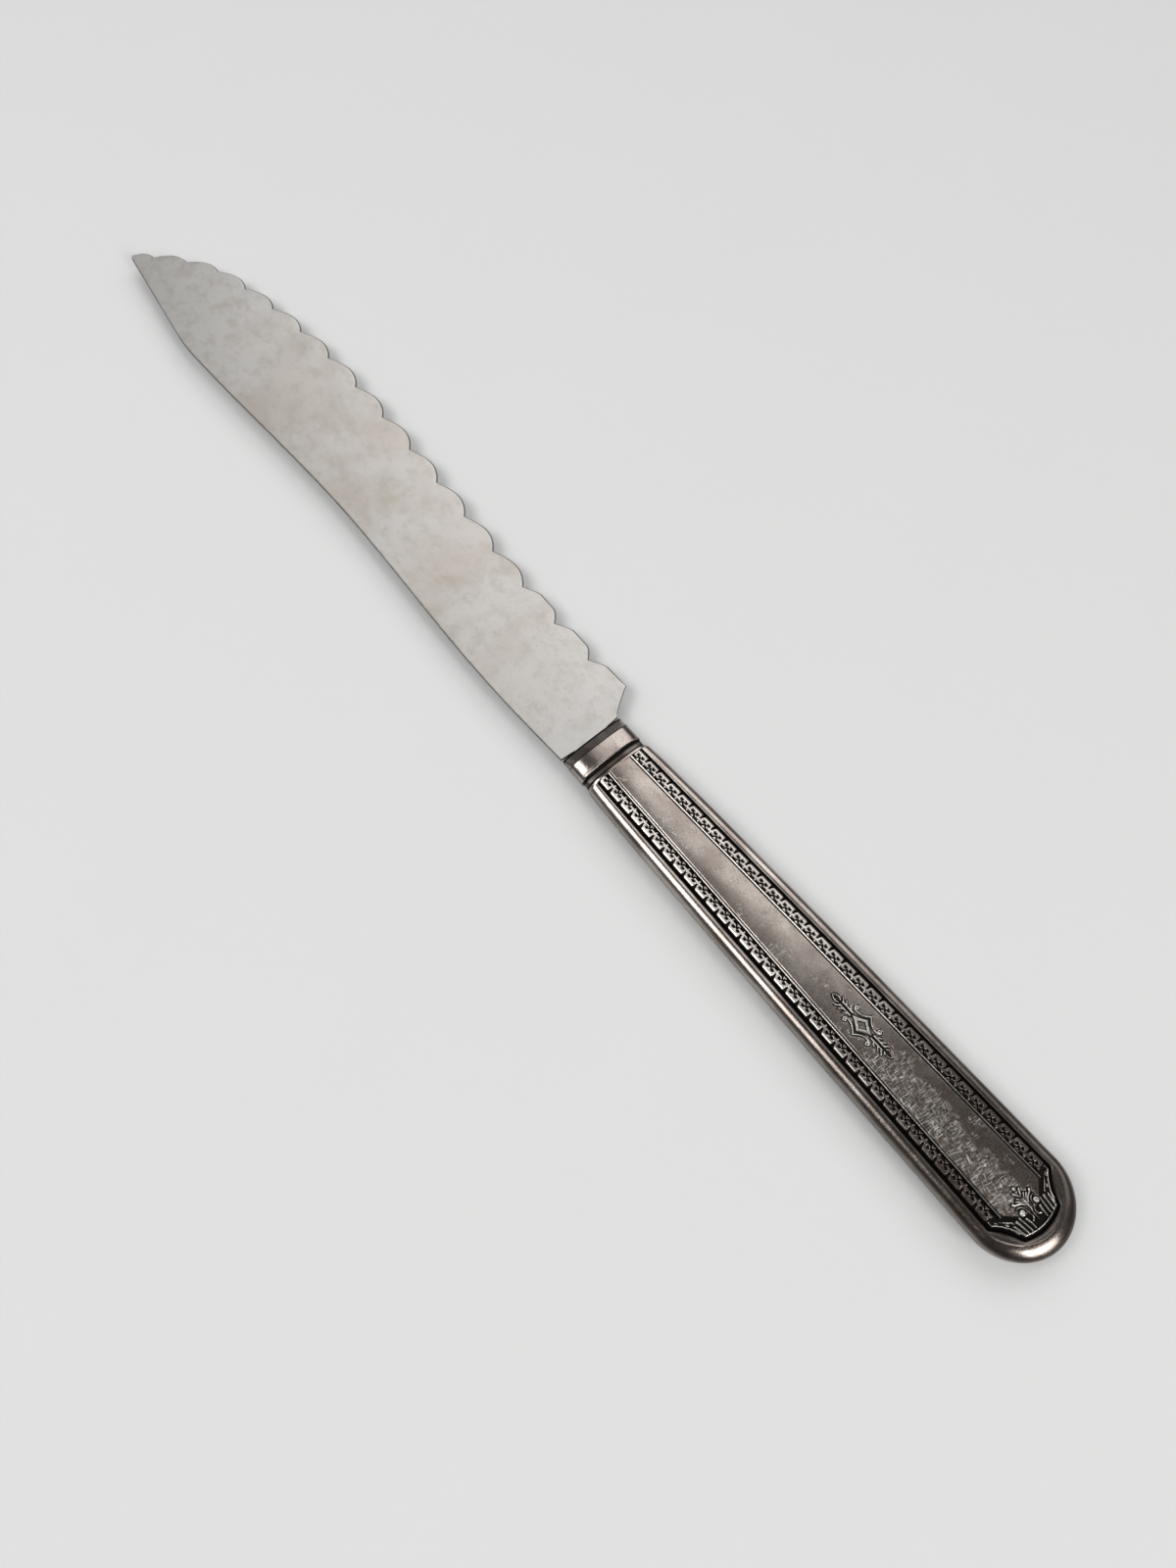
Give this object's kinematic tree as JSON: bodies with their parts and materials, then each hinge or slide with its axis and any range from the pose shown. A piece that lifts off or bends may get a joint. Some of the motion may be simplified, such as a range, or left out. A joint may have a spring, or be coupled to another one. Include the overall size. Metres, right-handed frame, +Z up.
{
  "type": "cake knife",
  "caption": "Cake knife with a wide scalloped steel blade and a hollow stamped handle with a rolled rim, a carved border, a plain panel and a collar.",
  "frame": {"origin": "On the flat back panel of the handle, on the handle's axis, half way along the handle.", "axes": "+X along the handle towards its butt, +Y towards the scalloped edge, +Z up through the front panel."},
  "size_m": [0.2921, 0.028, 0.0066],
  "materials": {
    "blade_steel": "satin stainless steel",
    "tarnished_plate": "tarnished silver plate on nickel silver",
    "back_plate": "tarnished silver plate on nickel silver",
    "hard_solder": "dull solder",
    "handle_cement": "matt set cement"
  },
  "bodies": {
    "root": {"blade": "blade_steel", "front_shell": "tarnished_plate", "back_shell": "back_plate", "seam_solder": "hard_solder", "tang_cement": "handle_cement"}
  },
  "joints": []
}
